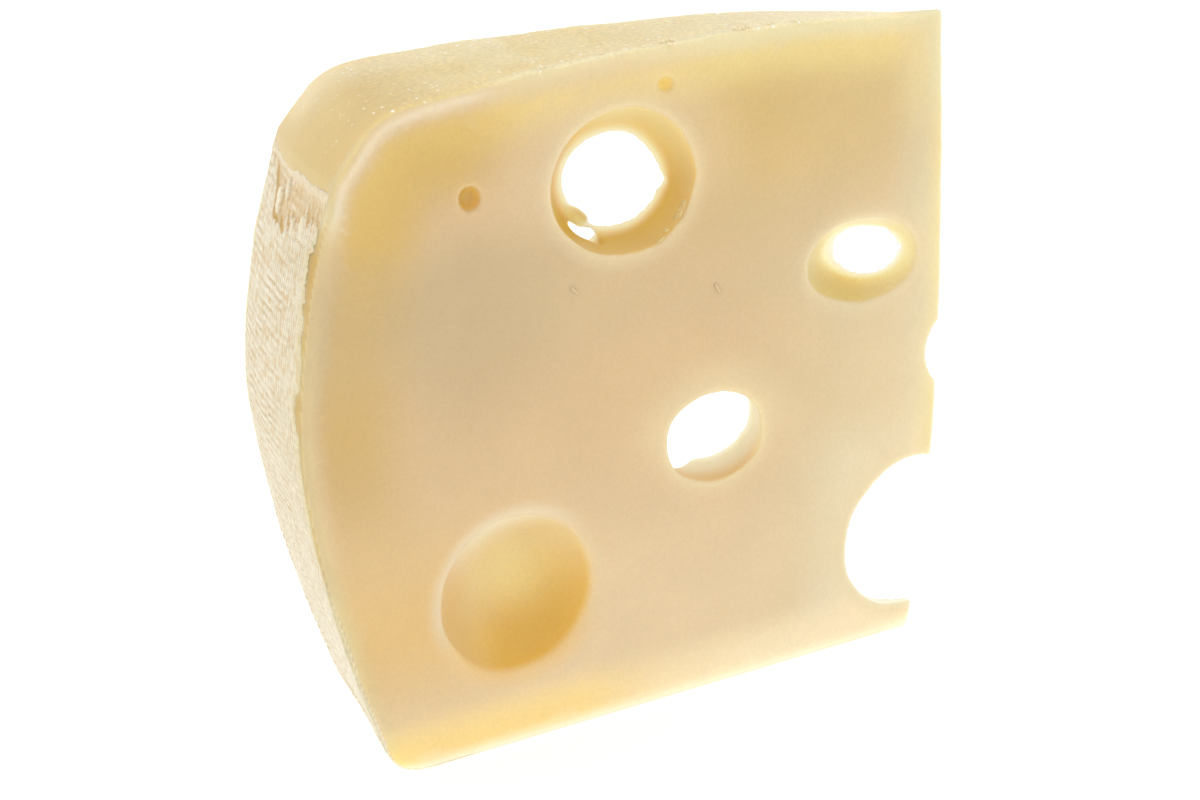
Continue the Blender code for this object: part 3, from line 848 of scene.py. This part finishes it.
    # the border is carried down into the paste and closed underneath
    setMode("EDIT")
    bpy.ops.mesh.select_mode(type="EDGE")
    bpy.ops.mesh.select_all(action="DESELECT")
    bpy.ops.mesh.select_non_manifold()
    bpy.ops.mesh.extrude_edges_move(TRANSFORM_OT_translate={"value": (0.0, 0.0, 0.0)})
    setMode("OBJECT")
    points = readPoints(made)
    chosen = np.empty(len(points), bool)
    made.data.vertices.foreach_get("select", chosen)
    away = points[chosen, :2] - (axisX, axisY)
    points[chosen, :2] -= away / np.hypot(away[:, 0], away[:, 1])[:, None] * skin["depth"] * mm
    writePoints(made, points)
    setMode("EDIT")
    bpy.ops.mesh.edge_face_add()
    bpy.ops.mesh.select_all(action="SELECT")
    bpy.ops.mesh.normals_make_consistent(inside=False)
    bpy.ops.mesh.quads_convert_to_tris()
    setMode("OBJECT")
    made.data.shade_smooth()
    return made


# the skin's colours, each laid over those before it, and the most of each
skinColors = (
    # the first colour is painted light: the skin paler low down
    ("lowSkinLit", "#eae0c8", 1.0), ("groove", "#cdb68c", 0.75), ("stain", "#d8b784", 0.85),
    ("crest", "#f5eddc", 0.65), ("beside", "#e3d6a8", 0.6), ("torn", "#cda55b", 0.9),
    ("curled", "#efe4c8", 0.9), ("brimBand", "#ebdaba", 0.9),
)


def skinMaterial():
    # natural washed rind, dried and brushed: chalky and matt, with the weave of the pressing cloth in it
    made, tree, shader = startMaterial("driedCheeseRind", {
        "Roughness": 0.78, "IOR": 1.45, "Subsurface Weight": 0.5, "Subsurface Scale": 1.0,
        "Subsurface Radius": (0.0008, 0.0008, 0.0007)})
    color = layColors(tree, sheetColor("#e6dcc3"), skinColors)
    # threads about half a millimetre wide, seen as short strokes both ways
    threads = addNode(tree, "UVMap")
    strokes = []
    for stretch in ((2.2, 0.55, 1.0), (0.5, 2.0, 1.0)):
        laid = addNode(tree, "Mapping", {"Vector": threads, "Scale": stretch})
        strokes.append(addNode(tree, "TexNoise", {"Vector": laid, "Scale": 1.0, "Detail": 3.0}))
    crossed = addNode(tree, "Math", strokes, operation="ADD")
    bright = addNode(tree, "MapRange", (crossed, 0.7, 1.3, 0.90, 1.085))
    color = addNode(tree, "VectorMath", (color, bright), operation="MULTIPLY")
    tree.links.new(color, shader.inputs["Base Color"])
    relief = addNode(tree, "Bump", {"Height": crossed, "Strength": 0.5, "Distance": 0.0004})
    tree.links.new(relief, shader.inputs["Normal"])
    return made


rindSkin = makeSkin()
rindSkin.data.materials.append(skinMaterial())
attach(rindSkin, "root")
print("rind skin made:", len(rindSkin.data.polygons), "triangles")

# crumbs of curd that the wire left: radius, height and depth of the middle, half sizes (metres), turn
# (degrees), and colour
crumb = {
    "detail": 4, "ragged": 0.55,
    "places": {
        "faceSliver": ((0.0952, 0.0990, 0.0001), (0.0011, 0.0004, 0.0003), -50.0, "#dcc69a"),
        "faceCurl": ((0.0615, 0.0931, 0.0001), (0.0013, 0.0004, 0.0003), -62.0, "#dcc69a"),
        "rimFlap": ((0.0704, 0.1110, 0.0004), (0.0018, 0.0007, 0.0005), 52.0, "#d9bd80"),
        "rimFlapEnd": ((0.0694, 0.1127, 0.0003), (0.0006, 0.0006, 0.0004), 70.0, "#dcc488"),
        "rimGrain": ((0.0736, 0.1077, 0.0003), (0.0006, 0.0004, 0.0003), 5.0, "#dcc488"),
        "rimShred": ((0.0752, 0.1058, 0.0001), (0.0012, 0.0004, 0.0003), 35.0, "#dcc48a"),
        "crackCurl": ((0.1510, 0.1036, 0.0016), (0.0006, 0.0015, 0.0003), 10.0, "#e8dcb8"),
    },
    # fine grains lie in clusters along the top edge, where the wire came out; their near-white colour is
    # partly a painted sparkle
    "clusters": ((0.0740, 4), (0.0725, 5), (0.0560, 6), (0.0545, 4), (0.0490, 5), (0.0420, 4), (0.0400, 6),
                 (0.0790, 3), (0.0860, 2), (0.1000, 2)),
    "clusterSpread": 0.0030, "grainDepth": 0.0012, "depthSpread": 0.0030, "edgeDepth": 0.0006,
    "edgeDrop": 0.0003, "grainSize": 0.00024, "sizeSpread": 1.2, "grainShape": (1.5, 1.0, 0.8),
    "grainSparkleTint": "#ffefc8", "grainDetail": 2, "unevenScale": 1.9,
}


def makeCrumbs():
    grains, tints = [], []
    jobs = [(*job, crumb["detail"]) for job in crumb["places"].values()]
    for k, (middle, count) in enumerate(crumb["clusters"]):
        for i in range(count):
            spread = [noise.noise(Vector((i * 3.7 + 0.4, k * 5.3 + 0.3, 2.6 * axis + 0.7)))
                      for axis in range(4)]
            radius = middle + crumb["clusterSpread"] * spread[0]
            depth = crumb["grainDepth"] + crumb["depthSpread"] * spread[1]
            size = crumb["grainSize"] * (1.0 + crumb["sizeSpread"] * spread[2])
            height = topHeight(radius) + 0.3 * size - crumb["edgeDrop"] * (depth < crumb["edgeDepth"])
            halfSizes = tuple(size * part for part in crumb["grainShape"])
            jobs.append(((radius, height, depth), halfSizes, 90.0 * spread[3], crumb["grainSparkleTint"],
                         crumb["grainDetail"]))
    for middle, halfSizes, turn, tint, detail in jobs:
        deselectAll()
        bpy.ops.mesh.primitive_ico_sphere_add(subdivisions=detail, radius=1.0)
        grain = bpy.context.object
        start = Vector(middle) * paste["unevenSpread"]
        for vertex in grain.data.vertices:
            vertex.co *= 1.0 + crumb["ragged"] * noise.noise(vertex.co * crumb["unevenScale"] + start)
        grain.data.transform(eyePlace((middle, halfSizes, turn), False))
        grains.append(grain)
        tints += [sheetColor(tint)] * len(grain.data.vertices)
    makeActive(grains[0])
    for grain in grains:
        grain.select_set(True)
    bpy.ops.object.join()
    made = bpy.context.object
    made.name = "curd_crumbs"
    made.data.shade_smooth()
    paintLayer(made, "curdTint", np.array(tints))
    return made


def crumbMaterial():
    # fresh curd broken off by the wire: paler and drier than the paste
    made, tree, shader = startMaterial("drySurfaceCurd", {"Roughness": 0.5, "IOR": 1.45})
    place = addNode(tree, "TexCoord", output="Object")
    lumps = addNode(tree, "TexNoise", {"Vector": place, "Scale": 2200.0, "Detail": 2.0})
    tint = addNode(tree, "Attribute", attribute_name="curdTint", output="Color")
    bright = addNode(tree, "MapRange", (lumps, 0.3, 0.7, 0.94, 1.04))
    color = addNode(tree, "VectorMath", (tint, bright), operation="MULTIPLY")
    tree.links.new(color, shader.inputs["Base Color"])
    bump = addNode(tree, "Bump", {"Height": lumps, "Strength": 0.4, "Distance": 0.0002})
    tree.links.new(bump, shader.inputs["Normal"])
    return made


crumbs = makeCrumbs()
crumbs.data.materials.append(crumbMaterial())
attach(crumbs, "root")
print("crumbs made:", len(crumbs.data.polygons), "triangles")

# an opal light table under the wedge, in a white room
studio = {"tableSize": 4.0, "opal": "#f4f4f2", "roughness": 0.6, "white": (1, 1, 1, 1), "tableGlow": 0.35,
          "roomLight": 1.0}
deselectAll()
bpy.ops.mesh.primitive_plane_add(size=studio["tableSize"])
floor = bpy.context.object
floor.name = "light_table"
floor.data.materials.append(startMaterial("opalAcrylicSheet", {
    "Base Color": sheetColor(studio["opal"]), "Roughness": studio["roughness"],
    "Emission Color": studio["white"], "Emission Strength": studio["tableGlow"]})[0])

world = bpy.data.worlds.new("white_studio")
bpy.context.scene.world = world
world.use_nodes = True
room = world.node_tree.nodes["Background"]
room.inputs["Color"].default_value = studio["white"]
room.inputs["Strength"].default_value = studio["roomLight"]
bpy.context.scene.view_settings.view_transform = "Standard"

view = {"place": (-0.22594, -0.40482, 0.2565), "yaw": 29.42, "down": 22.56, "roll": -0.73, "lens": 70.0,
        "sensor": 36.0, "nearest": 0.01}
camera = bpy.data.objects.new("camera", bpy.data.cameras.new("camera"))
bpy.context.scene.collection.objects.link(camera)
camera.data.lens = view["lens"]
camera.data.sensor_width = view["sensor"]
camera.data.clip_start = view["nearest"]
camera.matrix_world = (Matrix.Translation(view["place"]) @ Matrix.Rotation(-math.radians(view["yaw"]), 4, "Z")
                       @ Matrix.Rotation(math.radians(90.0 - view["down"]), 4, "X")
                       @ Matrix.Rotation(math.radians(view["roll"]), 4, "Z"))
bpy.context.scene.camera = camera
